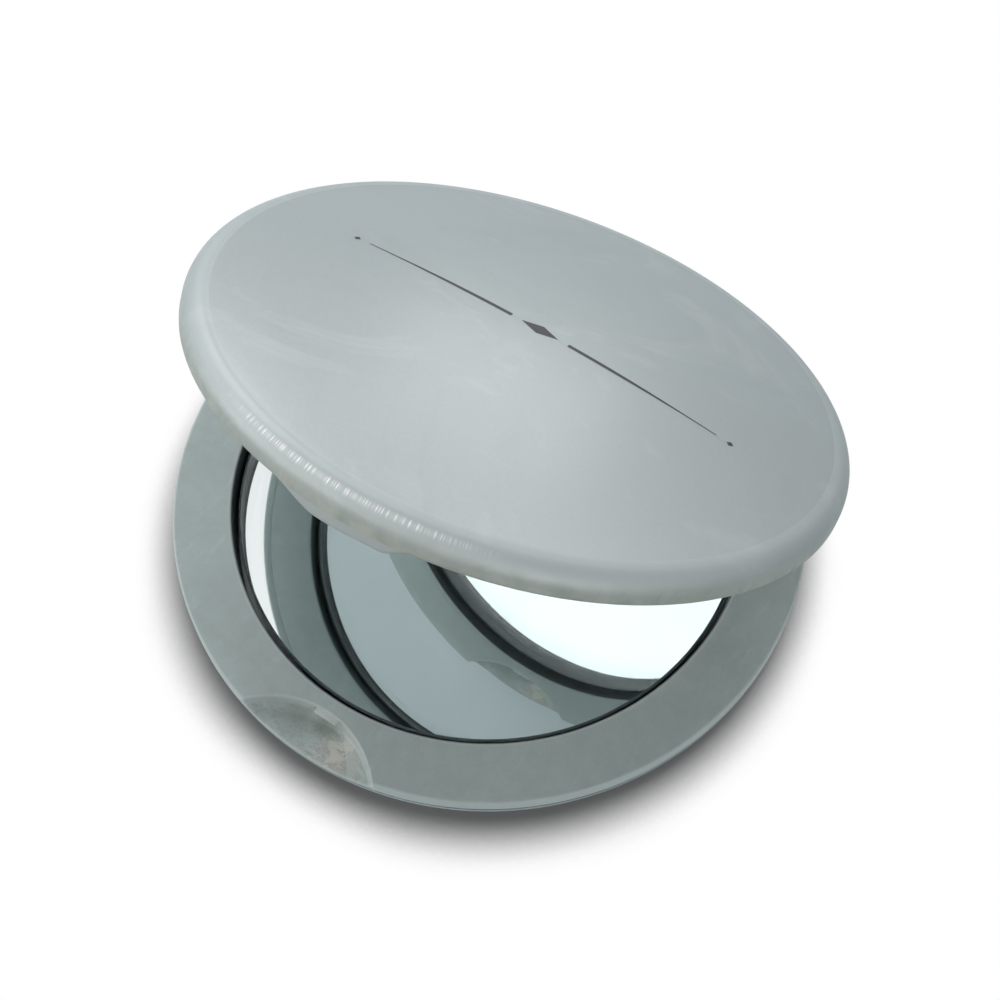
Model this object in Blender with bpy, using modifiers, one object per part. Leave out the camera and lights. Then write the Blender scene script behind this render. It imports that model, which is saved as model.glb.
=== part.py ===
"""A round pocket mirror case: two shallow shells on one hinge, with a mirror in each.

Metres, +Z up. The origin is the centre of the flat foot, the hinge is at the back
(+Y) and the thumb notch at the front (-Y). The lid stands open as in the photograph.
"""

import math

import bmesh
import bpy

# Fits that several pieces share
SEAT_GAP = 0.0003
SEAM_GAP = 0.00015
OVERRUN = 0.0010
EDGE_ROUND = 0.00035
FRAME_WALL = 0.0010

# Facets
ROUND_STEPS = 72
SMALL_STEPS = 24
EDGE_STEPS = 3
LIP_STEPS = 4
CORNER_STEPS = 7
CROWN_STEPS = 6

# Mirrors and the foam pads behind them
BASE_MIRROR_THICKNESS = 0.0030
LID_MIRROR_THICKNESS = 0.0020
MIRROR_EDGE_GAP = 0.0005
MIRROR_BEVEL_WIDTH = 0.00025
MIRROR_BEVEL_DROP = 0.00015
BASE_MIRROR_RECESS = 0.0013
LID_MIRROR_RECESS = 0.0009
BASE_PAD_THICKNESS = 0.0003
LID_PAD_THICKNESS = 0.0003
PAD_SHARE = 0.60

# Base: a cup below, and a flanged ring that closes it and frames the mirror
CASE_RADIUS = 0.0350
BASE_SIDE_REACH = 0.0055
BASE_FLOOR = 0.0010
BASE_WALL = 0.0013
BASE_FLANGE = 0.0017
BASE_SPIGOT_GAP = 0.0004
BASE_RING_WIDTH = 0.00655
BASE_OPENING_ROUND = 0.0004

# Thumb notch in the front of the base ring, with the catch nub on its back wall
NOTCH_RADIUS = 0.01106
NOTCH_REACH = 0.00486
NOTCH_RIM_DEPTH = 0.0012
NOTCH_DEPTH = 0.0017
NOTCH_FILLET = 0.0008
NOTCH_DISH_SHARES = ((0.0, 1.00), (0.25, 0.97), (0.45, 0.85), (0.60, 0.79), (0.80, 0.74), (1.00, 0.70))
POCKET_WALL = 0.0012
NUB_WIDTH = 0.0027
NUB_REACH = 0.0007
NUB_TOP_DROP = 0.0003
NUB_HEIGHT = 0.0005
NUB_SLOPE = 0.0002

# Hinge
HINGE_INSET = 0.0020
HINGE_DROP = 0.0030
KNUCKLE_RADIUS = 0.0015
KNUCKLE_WIDTH = 0.0100
KNUCKLE_SIDE_GAP = 0.0003
KNUCKLE_FRONT_GAP = 0.0004
KNUCKLE_TOP_DROP = 0.0002
EAR_WIDTH = 0.0020
HINGE_BLOCK_WALL = 0.0010
HINGE_BLOCK_INSET = 0.00015
ROLL_CLEARANCE = 0.0002
PIN_RADIUS = 0.0005
PIN_CLEARANCE = 0.00006
PIN_END_INSET = 0.0002
PIN_CHAMFER = 0.00015
LID_OPENING = math.radians(30.9)

# Lid: a crowned shell with a tab that drops into the notch, and an inset ring
LID_OVERHANG = 0.0002
LID_WALL = 0.0012
CROWN_WALL = 0.0007
CROWN_ANGLE = math.radians(7.0)
LID_RIM_ROUND = 0.0022
LID_BACK_ROOM = 0.0003
LID_FLANGE = 0.0012
LID_RING_WIDTH = 0.0069
LID_OPENING_ROUND = 0.0004
RIB_WIDTH = 0.0015
TAB_WIDTH = 0.0140
TAB_DROP = 0.0012
TAB_ROUND = 0.00025
TAB_SIDE_INSET = 0.00008
TAB_ROOT = 0.0006
TAB_END_SHARES = ((1.00, 0.00), (0.92, 0.25), (0.83, 0.50), (0.74, 0.71), (0.62, 0.90), (0.48, 1.05))

# Catch hook under the lid's ring, which passes the nub and holds below it
HOOK_WIDTH = 0.0024
HOOK_THICKNESS = 0.0012
HOOK_REACH = 0.0002
HOOK_LIP_HEIGHT = 0.00035
HOOK_FACE_GAP = 0.00026
HOOK_UNDER_GAP = 0.00015

# Heights and places that follow from the sizes above
FOOT_RADIUS = CASE_RADIUS - BASE_SIDE_REACH
BASE_OPENING_RADIUS = CASE_RADIUS - BASE_RING_WIDTH
BASE_MIRROR_BACK = BASE_FLOOR + SEAT_GAP + BASE_PAD_THICKNESS + SEAT_GAP
BASE_HEIGHT = BASE_MIRROR_BACK + BASE_MIRROR_THICKNESS + BASE_MIRROR_RECESS
BASE_RIM = BASE_HEIGHT - BASE_FLANGE - SEAT_GAP
HINGE_Y = CASE_RADIUS - HINGE_INSET
HINGE_Z = BASE_HEIGHT - HINGE_DROP
LID_SEAT = HINGE_DROP + SEAT_GAP
SLOT_HALF = KNUCKLE_WIDTH / 2 + KNUCKLE_SIDE_GAP
BLOCK_HALF = SLOT_HALF + EAR_WIDTH
SLOT_FRONT = HINGE_Y - KNUCKLE_RADIUS - KNUCKLE_FRONT_GAP
BLOCK_FRONT = SLOT_FRONT - HINGE_BLOCK_WALL
NOTCH_WALL_Y = -CASE_RADIUS + NOTCH_REACH
NOTCH_Y = NOTCH_WALL_Y - NOTCH_RADIUS
NOTCH_RIM_SPAN = NOTCH_RADIUS - NOTCH_REACH
NOTCH_HALF = math.sqrt(NOTCH_RADIUS**2 - NOTCH_RIM_SPAN**2)

LID_RADIUS = CASE_RADIUS + LID_OVERHANG
LID_OPENING_RADIUS = LID_RADIUS - LID_RING_WIDTH
LID_MIRROR_RADIUS = LID_OPENING_RADIUS - MIRROR_EDGE_GAP
PAD_RADIUS = LID_MIRROR_RADIUS * PAD_SHARE
LID_MIRROR_BACK = LID_MIRROR_RECESS + LID_MIRROR_THICKNESS
CROWN_EDGE = LID_RADIUS - LID_RIM_ROUND + LID_RIM_ROUND * math.sin(CROWN_ANGLE)
CROWN_SPHERE = CROWN_EDGE / math.sin(CROWN_ANGLE)
CROWN_TOP = (
    LID_MIRROR_BACK
    + LID_BACK_ROOM
    + CROWN_WALL
    + CROWN_SPHERE
    - math.sqrt(CROWN_SPHERE**2 - LID_MIRROR_RADIUS**2)
)


def crown(radius):
    """Height of the lid's outer crown above its parting face."""
    return CROWN_TOP - CROWN_SPHERE + math.sqrt(CROWN_SPHERE**2 - radius**2)


def inner_crown(radius):
    """Height of the lid shell's inner face under the crown."""
    return crown(radius) - CROWN_WALL


def cup_inside(radius):
    """Height of the base cup's inner face."""
    across = max(radius - FOOT_RADIUS, 0.0) / (CASE_RADIUS - BASE_WALL - FOOT_RADIUS)
    return BASE_RIM - (BASE_RIM - BASE_FLOOR) * math.sqrt(1.0 - across**2)


LID_SIDE = crown(CROWN_EDGE) - LID_RIM_ROUND * math.cos(CROWN_ANGLE)
LID_CORNER_RADIUS = LID_RADIUS - LID_RIM_ROUND - LID_WALL


def arc(centre, radii, start, end, steps):
    """Points on an ellipse from one angle to another, in degrees."""
    points = []
    for step in range(steps + 1):
        angle = math.radians(start + (end - start) * step / steps)
        across = centre[0] + radii[0] * math.cos(angle)
        points.append((across, centre[1] + radii[1] * math.sin(angle)))
    return points


def new_collection(name):
    collection = bpy.data.collections.new(name)
    bpy.context.scene.collection.children.link(collection)
    return collection


def add_object(name, data, group, parent=None):
    """Link a new object, as a part or as a hidden cutter."""
    piece = bpy.data.objects.new(name, data)
    group.objects.link(piece)
    piece.parent = parent
    return piece


def hide_cutter(cutter):
    cutter.display_type = "WIRE"
    cutter.hide_render = True
    return cutter


def turned(name, profile, group, parent=None, ring=False, steps=ROUND_STEPS):
    """Turn a profile of (radius, height) points about the object's own Z axis."""
    points = [(radius, 0.0, height) for radius, height in profile]
    edges = [(index, index + 1) for index in range(len(points) - 1)]
    if ring:
        edges.append((len(points) - 1, 0))
    mesh = bpy.data.meshes.new(name)
    mesh.from_pydata(points, edges, [])
    piece = add_object(name, mesh, group, parent)
    turn = piece.modifiers.new("Turn", "SCREW")
    turn.axis = "Z"
    turn.angle = math.tau
    turn.steps = steps
    turn.render_steps = steps
    turn.use_merge_vertices = True
    turn.merge_threshold = 1e-6
    return piece


def prism(name, outline, width, group, parent=None):
    """A flat outline given a thickness across the object's own Z axis, as a closed mesh."""
    curve = bpy.data.curves.new(name, "CURVE")
    curve.dimensions = "2D"
    curve.fill_mode = "BOTH"
    curve.extrude = width / 2
    spline = curve.splines.new("POLY")
    spline.points.add(len(outline) - 1)
    for point, (across, up) in zip(spline.points, outline):
        point.co = (across, up, 0.0, 1.0)
    spline.use_cyclic_u = True
    flat = add_object(name + "_outline", curve, group)
    bpy.context.view_layer.update()
    mesh = bpy.data.meshes.new_from_object(flat.evaluated_get(bpy.context.evaluated_depsgraph_get()))
    bpy.data.objects.remove(flat)
    shape = bmesh.new()
    shape.from_mesh(mesh)
    bmesh.ops.remove_doubles(shape, verts=shape.verts, dist=1e-7)
    bmesh.ops.recalc_face_normals(shape, faces=shape.faces)
    shape.to_mesh(mesh)
    shape.free()
    return add_object(name, mesh, group, parent)


def sideways(piece):
    """Lay an outline in the Y-Z plane, so that it is as wide as it is thick along X."""
    piece.rotation_euler = (math.pi / 2, 0.0, math.pi / 2)
    return piece


def box(name, low, high, group, parent=None):
    """A block between two corners."""
    outline = [(low[0], low[1]), (high[0], low[1]), (high[0], high[1]), (low[0], high[1])]
    piece = prism(name, outline, high[2] - low[2], group, parent)
    piece.location.z = (low[2] + high[2]) / 2
    return hide_cutter(piece)


def combine(piece, other, operation):
    """Cut, join or trim a piece with another one."""
    step = piece.modifiers.new(other.name, "BOOLEAN")
    step.operation = operation
    step.solver = "EXACT"
    step.object = other


def material(name, colour, roughness, metallic=0.0, coat=0.0):
    surface = bpy.data.materials.new(name)
    surface.use_nodes = True
    shader = surface.node_tree.nodes["Principled BSDF"]
    shader.inputs["Base Color"].default_value = (*colour, 1.0)
    shader.inputs["Roughness"].default_value = roughness
    shader.inputs["Metallic"].default_value = metallic
    shader.inputs["Coat Weight"].default_value = coat
    return surface


def finish(piece, surface):
    """Keep the modifiers' result as the piece's mesh, smooth with crisp corners."""
    bpy.context.view_layer.update()
    evaluated = piece.evaluated_get(bpy.context.evaluated_depsgraph_get())
    mesh = bpy.data.meshes.new_from_object(evaluated)
    piece.modifiers.clear()
    piece.data = mesh
    mesh.name = piece.name
    mesh.materials.clear()
    mesh.materials.append(surface)
    mesh.shade_smooth()
    mesh.set_sharp_from_angle(angle=math.radians(30.0))


def make_base_shell(parts, cutters):
    """The cup: a flat foot, an elliptical side and a cut-out for the hinge block."""
    outer_side = arc((FOOT_RADIUS, BASE_RIM), (CASE_RADIUS - FOOT_RADIUS, BASE_RIM), 0, -90, CORNER_STEPS)
    inner_reach = CASE_RADIUS - BASE_WALL - FOOT_RADIUS
    inner_side = arc((FOOT_RADIUS, BASE_RIM), (inner_reach, BASE_RIM - BASE_FLOOR), -90, 0, CORNER_STEPS)
    profile = [(0.0, BASE_FLOOR)] + inner_side + outer_side + [(0.0, 0.0)]
    shell = turned("base_shell", profile, parts)
    half = BLOCK_HALF + SEAT_GAP
    low = (-half, BLOCK_FRONT - SEAT_GAP, -OVERRUN)
    high = (half, CASE_RADIUS + OVERRUN, BASE_HEIGHT)
    combine(shell, box("hinge_cutout", low, high, cutters), "DIFFERENCE")
    return shell


def base_frame_profile():
    """The ring's section: a flange over the cup's rim, a skirt at the opening and a spigot."""
    under = BASE_HEIGHT - BASE_FLANGE
    skirt_radius = BASE_OPENING_RADIUS + FRAME_WALL
    skirt_end = cup_inside(skirt_radius) + SEAT_GAP
    spigot_radius = CASE_RADIUS - BASE_WALL - BASE_SPIGOT_GAP
    spigot_end = cup_inside(spigot_radius) + SEAT_GAP
    edge_centre = (CASE_RADIUS - EDGE_ROUND, BASE_HEIGHT - EDGE_ROUND)
    lip_centre = (BASE_OPENING_RADIUS + BASE_OPENING_ROUND, BASE_HEIGHT - BASE_OPENING_ROUND)
    profile = arc(edge_centre, (EDGE_ROUND, EDGE_ROUND), 90, 0, EDGE_STEPS)
    profile += [(CASE_RADIUS, under), (spigot_radius, under), (spigot_radius, spigot_end)]
    profile += [(spigot_radius - FRAME_WALL, spigot_end), (spigot_radius - FRAME_WALL, under)]
    profile += [(skirt_radius, under), (skirt_radius, skirt_end), (BASE_OPENING_RADIUS, skirt_end)]
    profile += arc(lip_centre, (BASE_OPENING_ROUND, BASE_OPENING_ROUND), 180, 90, LIP_STEPS)
    return profile


def make_notch_pocket(cutters):
    """The thick place under the thumb notch, between the ring's skirt and its spigot."""
    top = BASE_HEIGHT - BASE_FLANGE / 2
    bottom = BASE_HEIGHT - NOTCH_DEPTH - POCKET_WALL
    radius = NOTCH_RADIUS + POCKET_WALL
    pocket = turned("notch_pocket", [(0.0, top), (radius, top), (radius, bottom), (0.0, bottom)], cutters)
    pocket.location.y = NOTCH_Y
    inner = BASE_OPENING_RADIUS + FRAME_WALL / 2
    outer = CASE_RADIUS - BASE_WALL - BASE_SPIGOT_GAP - FRAME_WALL / 2
    high = BASE_HEIGHT
    low = bottom - OVERRUN
    section = [(outer, high), (outer, low), (inner, low), (inner, high)]
    limit = hide_cutter(turned("notch_pocket_limit", section, cutters, ring=True))
    combine(pocket, limit, "INTERSECT")
    return hide_cutter(pocket)


def make_notch_scoop(cutters):
    """The thumb notch: an upright arc for its back wall and a floor dished both ways."""
    wall_end = BASE_HEIGHT - NOTCH_DEPTH + NOTCH_FILLET
    fillet_centre = (NOTCH_RADIUS - NOTCH_FILLET, wall_end)
    profile = [(0.0, BASE_HEIGHT + OVERRUN), (NOTCH_RADIUS, BASE_HEIGHT + OVERRUN)]
    profile += arc(fillet_centre, (NOTCH_FILLET, NOTCH_FILLET), 0, -90, EDGE_STEPS)
    dish = NOTCH_RADIUS - NOTCH_FILLET - NOTCH_RIM_SPAN + OVERRUN
    for step in range(1, CROWN_STEPS + 1):
        share = step / CROWN_STEPS
        rise = (NOTCH_DEPTH - NOTCH_RIM_DEPTH) * (1.0 - (1.0 - share) ** 2)
        profile.append((NOTCH_RADIUS - NOTCH_FILLET - dish * share, BASE_HEIGHT - NOTCH_DEPTH + rise))
    profile.append((0.0, BASE_HEIGHT - NOTCH_RIM_DEPTH))
    scoop = turned("notch_scoop", profile, cutters)
    scoop.location.y = NOTCH_Y
    dish_side = [(share * NOTCH_HALF, -drop * NOTCH_DEPTH) for share, drop in NOTCH_DISH_SHARES]
    dish_side.append((NOTCH_RADIUS + OVERRUN, dish_side[-1][1]))
    dish_side.append((NOTCH_RADIUS + OVERRUN, NOTCH_DEPTH))
    outline = dish_side + [(-across, up) for across, up in reversed(dish_side[1:])]
    limit = prism("notch_dish", outline, 2 * (NOTCH_RADIUS + OVERRUN), cutters)
    limit.rotation_euler = (math.pi / 2, 0.0, 0.0)
    limit.location = (0.0, NOTCH_Y, BASE_HEIGHT)
    combine(scoop, hide_cutter(limit), "INTERSECT")
    return hide_cutter(scoop)


def make_catch_nub(cutters):
    """The nub on the notch's back wall, with a top that slopes down to its front edge."""
    top = BASE_HEIGHT - NUB_TOP_DROP
    bottom = top - NUB_HEIGHT
    back = NOTCH_WALL_Y + POCKET_WALL / 2
    front = NOTCH_WALL_Y - NUB_REACH
    outline = [(back, top), (NOTCH_WALL_Y, top), (front, top - NUB_SLOPE), (front, bottom), (back, bottom)]
    return hide_cutter(sideways(prism("catch_nub", outline, NUB_WIDTH, cutters)))


def make_hinge_block(cutters):
    """The block across the back of the base ring that becomes the two hinge ears."""
    low = (-BLOCK_HALF, BLOCK_FRONT, -OVERRUN)
    high = (BLOCK_HALF, CASE_RADIUS + OVERRUN, BASE_HEIGHT - BASE_FLANGE / 2)
    block = box("hinge_block", low, high, cutters)
    radius = CASE_RADIUS - HINGE_BLOCK_INSET
    reach = radius - FOOT_RADIUS
    drop = BASE_RIM - HINGE_BLOCK_INSET
    profile = [(0.0, BASE_HEIGHT), (radius, BASE_HEIGHT)]
    profile += arc((FOOT_RADIUS, BASE_RIM), (reach, drop), 0, -90, CORNER_STEPS)
    profile.append((0.0, HINGE_BLOCK_INSET))
    limit = hide_cutter(turned("hinge_block_limit", profile, cutters))
    combine(block, limit, "INTERSECT")
    return block


def make_roll_cutter(cutters):
    """Rounds the rear edge over the ears about the pin, so that the lid's ring rolls over it."""
    radius = HINGE_DROP + SEAT_GAP - ROLL_CLEARANCE
    start = math.degrees(math.asin(HINGE_DROP / radius))
    far = HINGE_INSET + OVERRUN
    end = math.degrees(math.acos(HINGE_INSET / radius)) - 1.0
    outline = arc((0.0, 0.0), (radius, radius), start + 1.0, end, CROWN_STEPS)
    outline += [(far, outline[-1][1]), (far, HINGE_DROP + OVERRUN), (outline[0][0], HINGE_DROP + OVERRUN)]
    cutter = sideways(prism("rear_roll", outline, 2 * (BLOCK_HALF + EAR_WIDTH), cutters))
    cutter.location = (0.0, HINGE_Y, HINGE_Z)
    return hide_cutter(cutter)


def make_pin_bore(cutters, parent=None):
    """The hole for the hinge pin, along X through the object's own origin."""
    radius = PIN_RADIUS + PIN_CLEARANCE
    half = BLOCK_HALF + OVERRUN
    profile = [(0.0, half), (radius, half), (radius, -half), (0.0, -half)]
    bore = turned("pin_bore", profile, cutters, parent, steps=SMALL_STEPS)
    bore.rotation_euler = (0.0, math.pi / 2, 0.0)
    return hide_cutter(bore)


def make_base_frame(parts, cutters):
    """The flanged ring with the thumb notch at the front and the hinge ears at the back."""
    frame = turned("base_frame", base_frame_profile(), parts, ring=True)
    combine(frame, make_notch_pocket(cutters), "UNION")
    combine(frame, make_hinge_block(cutters), "UNION")
    combine(frame, make_notch_scoop(cutters), "DIFFERENCE")
    combine(frame, make_catch_nub(cutters), "UNION")
    low = (-SLOT_HALF, SLOT_FRONT, -OVERRUN)
    high = (SLOT_HALF, CASE_RADIUS + OVERRUN, BASE_HEIGHT + OVERRUN)
    combine(frame, box("knuckle_slot", low, high, cutters), "DIFFERENCE")
    combine(frame, make_roll_cutter(cutters), "DIFFERENCE")
    bore = make_pin_bore(cutters)
    bore.location = (0.0, HINGE_Y, HINGE_Z)
    combine(frame, bore, "DIFFERENCE")
    return frame


def make_disc(name, radius, low, high, group, parent=None):
    """A plain round disc."""
    return turned(name, [(0.0, high), (radius, high), (radius, low), (0.0, low)], group, parent)


def make_base_mirror(parts):
    """The base's mirror glass, with a narrow bevel round its upper edge."""
    radius = BASE_OPENING_RADIUS - MIRROR_EDGE_GAP
    face = BASE_MIRROR_BACK + BASE_MIRROR_THICKNESS
    profile = [(0.0, face), (radius - MIRROR_BEVEL_WIDTH, face), (radius, face - MIRROR_BEVEL_DROP)]
    profile += [(radius, BASE_MIRROR_BACK), (0.0, BASE_MIRROR_BACK)]
    return turned("base_mirror", profile, parts)


def make_hinge_pin(parts):
    """The steel pin through the ears and the knuckle, chamfered at both ends."""
    half = BLOCK_HALF - PIN_END_INSET
    tip = PIN_RADIUS - PIN_CHAMFER
    shoulder = half - PIN_CHAMFER
    profile = [(0.0, half), (tip, half), (PIN_RADIUS, shoulder)]
    profile += [(PIN_RADIUS, -shoulder), (tip, -half), (0.0, -half)]
    pin = turned("hinge_pin", profile, parts, steps=SMALL_STEPS)
    pin.location = (0.0, HINGE_Y, HINGE_Z)
    pin.rotation_euler = (0.0, math.pi / 2, 0.0)
    return pin


def make_lid_axis(parts):
    """An empty on the hinge axis that carries the lid, turned open."""
    axis = add_object("lid_axis", None, parts)
    axis.location = (0.0, HINGE_Y, HINGE_Z)
    axis.rotation_euler.x = -LID_OPENING
    return axis


def seat_on_lid(piece):
    """Put a lid piece's origin at the middle of the lid's parting face."""
    piece.location.y += -HINGE_Y
    piece.location.z += LID_SEAT
    return piece


def lid_shell_profile():
    """The lid's section: crown, rounded rim and side outside, crown and pad rib inside."""
    profile = []
    for step in range(CROWN_STEPS):
        radius = CROWN_EDGE * step / CROWN_STEPS
        profile.append((radius, crown(radius)))
    rim_centre = (LID_RADIUS - LID_RIM_ROUND, LID_SIDE)
    rim_start = 90 - math.degrees(CROWN_ANGLE)
    profile += arc(rim_centre, (LID_RIM_ROUND, LID_RIM_ROUND), rim_start, 0, CORNER_STEPS)
    edge_centre = (LID_RADIUS - EDGE_ROUND, EDGE_ROUND)
    profile += arc(edge_centre, (EDGE_ROUND, EDGE_ROUND), 0, -90, EDGE_STEPS)
    profile.append((LID_RADIUS - LID_WALL, 0.0))
    inner_radii = (LID_RIM_ROUND, inner_crown(LID_CORNER_RADIUS) - LID_SIDE)
    profile += arc((LID_CORNER_RADIUS, LID_SIDE), inner_radii, 0, 90, EDGE_STEPS + 1)
    rib_outer = PAD_RADIUS
    rib_inner = PAD_RADIUS - RIB_WIDTH
    rib_face = LID_MIRROR_BACK + SEAT_GAP + LID_PAD_THICKNESS + SEAT_GAP
    middle = (LID_CORNER_RADIUS + rib_outer) / 2
    profile += [(middle, inner_crown(middle)), (rib_outer, inner_crown(rib_outer)), (rib_outer, rib_face)]
    profile += [(rib_inner, rib_face), (rib_inner, inner_crown(rib_inner))]
    profile += [(rib_inner / 2, inner_crown(rib_inner / 2)), (0.0, inner_crown(0.0))]
    return profile


def make_tab(cutters, axis):
    """The tab in the thumb notch, turned by half a facet so that no edge falls on the shell's own."""
    outer = LID_RADIUS - TAB_SIDE_INSET
    inner = LID_RADIUS - LID_WALL + TAB_SIDE_INSET
    foot = -TAB_DROP
    section = [(outer, TAB_ROOT), (outer, foot + TAB_ROUND), (outer - TAB_ROUND, foot)]
    section += [(inner + TAB_ROUND, foot), (inner, foot + TAB_ROUND), (inner, TAB_ROOT)]
    tab = hide_cutter(seat_on_lid(turned("tab", section, cutters, axis, ring=True)))
    tab.rotation_euler.z = math.pi / ROUND_STEPS
    side = [(share * TAB_WIDTH / 2, -drop * TAB_DROP) for share, drop in TAB_END_SHARES]
    side.append((side[-1][0], -TAB_DROP - OVERRUN))
    side.insert(0, (side[0][0], TAB_ROOT + OVERRUN))
    outline = side + [(-across, up) for across, up in reversed(side)]
    depth = LID_WALL + 2 * EAR_WIDTH
    limit = prism("tab_limit", outline, depth, cutters, axis)
    limit.rotation_euler = (math.pi / 2, 0.0, 0.0)
    limit.location.y = -LID_RADIUS
    combine(tab, hide_cutter(seat_on_lid(limit)), "INTERSECT")
    return tab


def make_lid_shell(parts, cutters, axis):
    """The crowned shell with its tab, and a window in its rear rim for the hinge knuckle."""
    shell = seat_on_lid(turned("lid_shell", lid_shell_profile(), parts, axis))
    combine(shell, make_tab(cutters, axis), "UNION")
    low = (-SLOT_HALF, BLOCK_FRONT, -OVERRUN)
    high = (SLOT_HALF, LID_RADIUS + OVERRUN, LID_FLANGE + SEAT_GAP)
    window = seat_on_lid(box("knuckle_window", low, high, cutters, axis))
    combine(shell, window, "DIFFERENCE")
    return shell


def lid_frame_profile():
    """The inset ring's section: a flange, a skirt at the opening and a spigot to the crown."""
    outer = LID_RADIUS - LID_WALL - SEAM_GAP
    skirt_radius = LID_OPENING_RADIUS + FRAME_WALL
    skirt_end = inner_crown(skirt_radius) - SEAT_GAP
    spigot_end = inner_crown(LID_CORNER_RADIUS) - SEAT_GAP
    lip_centre = (LID_OPENING_RADIUS + LID_OPENING_ROUND, LID_OPENING_ROUND)
    profile = [(outer, LID_FLANGE), (outer, 0.0)]
    profile += arc(lip_centre, (LID_OPENING_ROUND, LID_OPENING_ROUND), 270, 180, LIP_STEPS)
    profile += [(LID_OPENING_RADIUS, skirt_end), (skirt_radius, skirt_end), (skirt_radius, LID_FLANGE)]
    profile += [(LID_CORNER_RADIUS - FRAME_WALL, LID_FLANGE), (LID_CORNER_RADIUS - FRAME_WALL, spigot_end)]
    profile += [(LID_CORNER_RADIUS, spigot_end), (LID_CORNER_RADIUS, LID_FLANGE)]
    return profile


def make_knuckle(cutters, axis):
    """The hinge knuckle: a barrel on the pin with straight sides up to the lid's ring."""
    top = LID_SEAT + LID_FLANGE - KNUCKLE_TOP_DROP
    radii = (KNUCKLE_RADIUS, KNUCKLE_RADIUS)
    outline = [(-KNUCKLE_RADIUS, top)] + arc((0.0, 0.0), radii, 180, 360, SMALL_STEPS // 2)
    outline.append((KNUCKLE_RADIUS, top))
    return hide_cutter(sideways(prism("knuckle", outline, KNUCKLE_WIDTH, cutters, axis)))


def make_hook(cutters, axis):
    """The catch hook: a post behind the tab with a lip that passes below the nub."""
    face = NOTCH_WALL_Y - NUB_REACH - HOOK_FACE_GAP
    lip_top = -SEAT_GAP - NUB_TOP_DROP - NUB_HEIGHT - HOOK_UNDER_GAP
    foot = lip_top - HOOK_LIP_HEIGHT
    back = face - HOOK_THICKNESS
    root = LID_FLANGE / 2
    outline = [(back, root), (back, foot), (face + HOOK_REACH / 2, foot), (face + HOOK_REACH, lip_top)]
    outline += [(face, lip_top), (face, root)]
    return hide_cutter(seat_on_lid(sideways(prism("hook", outline, HOOK_WIDTH, cutters, axis))))


def make_lid_frame(parts, cutters, axis):
    """The inset ring with the hinge knuckle at the back and the catch hook at the front."""
    frame = seat_on_lid(turned("lid_frame", lid_frame_profile(), parts, axis, ring=True))
    combine(frame, make_knuckle(cutters, axis), "UNION")
    combine(frame, make_hook(cutters, axis), "UNION")
    combine(frame, make_pin_bore(cutters, axis), "DIFFERENCE")
    return frame


def make_lid_mirror(parts, axis):
    """The lid's mirror glass, which faces the base, with a narrow bevel round that side."""
    radius = LID_MIRROR_RADIUS
    face = LID_MIRROR_RECESS
    profile = [(0.0, LID_MIRROR_BACK), (radius, LID_MIRROR_BACK), (radius, face + MIRROR_BEVEL_DROP)]
    profile += [(radius - MIRROR_BEVEL_WIDTH, face), (0.0, face)]
    return seat_on_lid(turned("lid_mirror", profile, parts, axis))


def main():
    for old in list(bpy.data.objects):
        bpy.data.objects.remove(old)
    parts = new_collection("compact_mirror")
    cutters = new_collection("cutters")
    axis = make_lid_axis(parts)

    pearl = material("pearl_plastic", (0.50, 0.53, 0.53), 0.22, coat=0.6)
    satin = material("satin_plastic", (0.32, 0.35, 0.345), 0.45)
    silvered = material("silvered_glass", (0.93, 0.95, 0.95), 0.02, metallic=1.0)
    foam = material("black_foam", (0.03, 0.03, 0.03), 0.9)
    steel = material("steel", (0.55, 0.56, 0.57), 0.3, metallic=1.0)

    base_pad_low = BASE_FLOOR + SEAT_GAP
    base_pad_high = base_pad_low + BASE_PAD_THICKNESS
    lid_pad_low = LID_MIRROR_BACK + SEAT_GAP
    lid_pad_high = lid_pad_low + LID_PAD_THICKNESS
    finish(make_base_shell(parts, cutters), pearl)
    finish(make_base_frame(parts, cutters), satin)
    finish(make_base_mirror(parts), silvered)
    finish(make_disc("base_mirror_pad", PAD_RADIUS, base_pad_low, base_pad_high, parts), foam)
    finish(make_hinge_pin(parts), steel)
    finish(make_lid_shell(parts, cutters, axis), pearl)
    finish(make_lid_frame(parts, cutters, axis), satin)
    finish(make_lid_mirror(parts, axis), silvered)
    lid_pad = make_disc("lid_mirror_pad", PAD_RADIUS, lid_pad_low, lid_pad_high, parts, axis)
    finish(seat_on_lid(lid_pad), foam)


main()
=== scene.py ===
"""The look of the round pocket mirror: lacquered shells, moulded rings and silvered glass."""

import math

import bmesh
import bpy
from mathutils import Matrix, Vector


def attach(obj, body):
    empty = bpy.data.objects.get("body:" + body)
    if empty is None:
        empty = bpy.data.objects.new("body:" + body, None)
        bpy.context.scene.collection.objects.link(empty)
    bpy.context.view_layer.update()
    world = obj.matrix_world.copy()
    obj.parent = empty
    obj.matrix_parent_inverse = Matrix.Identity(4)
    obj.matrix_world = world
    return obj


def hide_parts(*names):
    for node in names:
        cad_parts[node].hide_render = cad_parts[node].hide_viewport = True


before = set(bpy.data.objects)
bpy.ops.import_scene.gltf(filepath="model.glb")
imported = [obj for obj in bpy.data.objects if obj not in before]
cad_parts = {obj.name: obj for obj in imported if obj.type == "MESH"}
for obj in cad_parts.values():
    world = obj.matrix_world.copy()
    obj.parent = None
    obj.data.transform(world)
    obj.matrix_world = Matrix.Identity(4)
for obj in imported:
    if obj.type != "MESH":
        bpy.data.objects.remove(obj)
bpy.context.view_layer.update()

MM = 0.001

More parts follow.
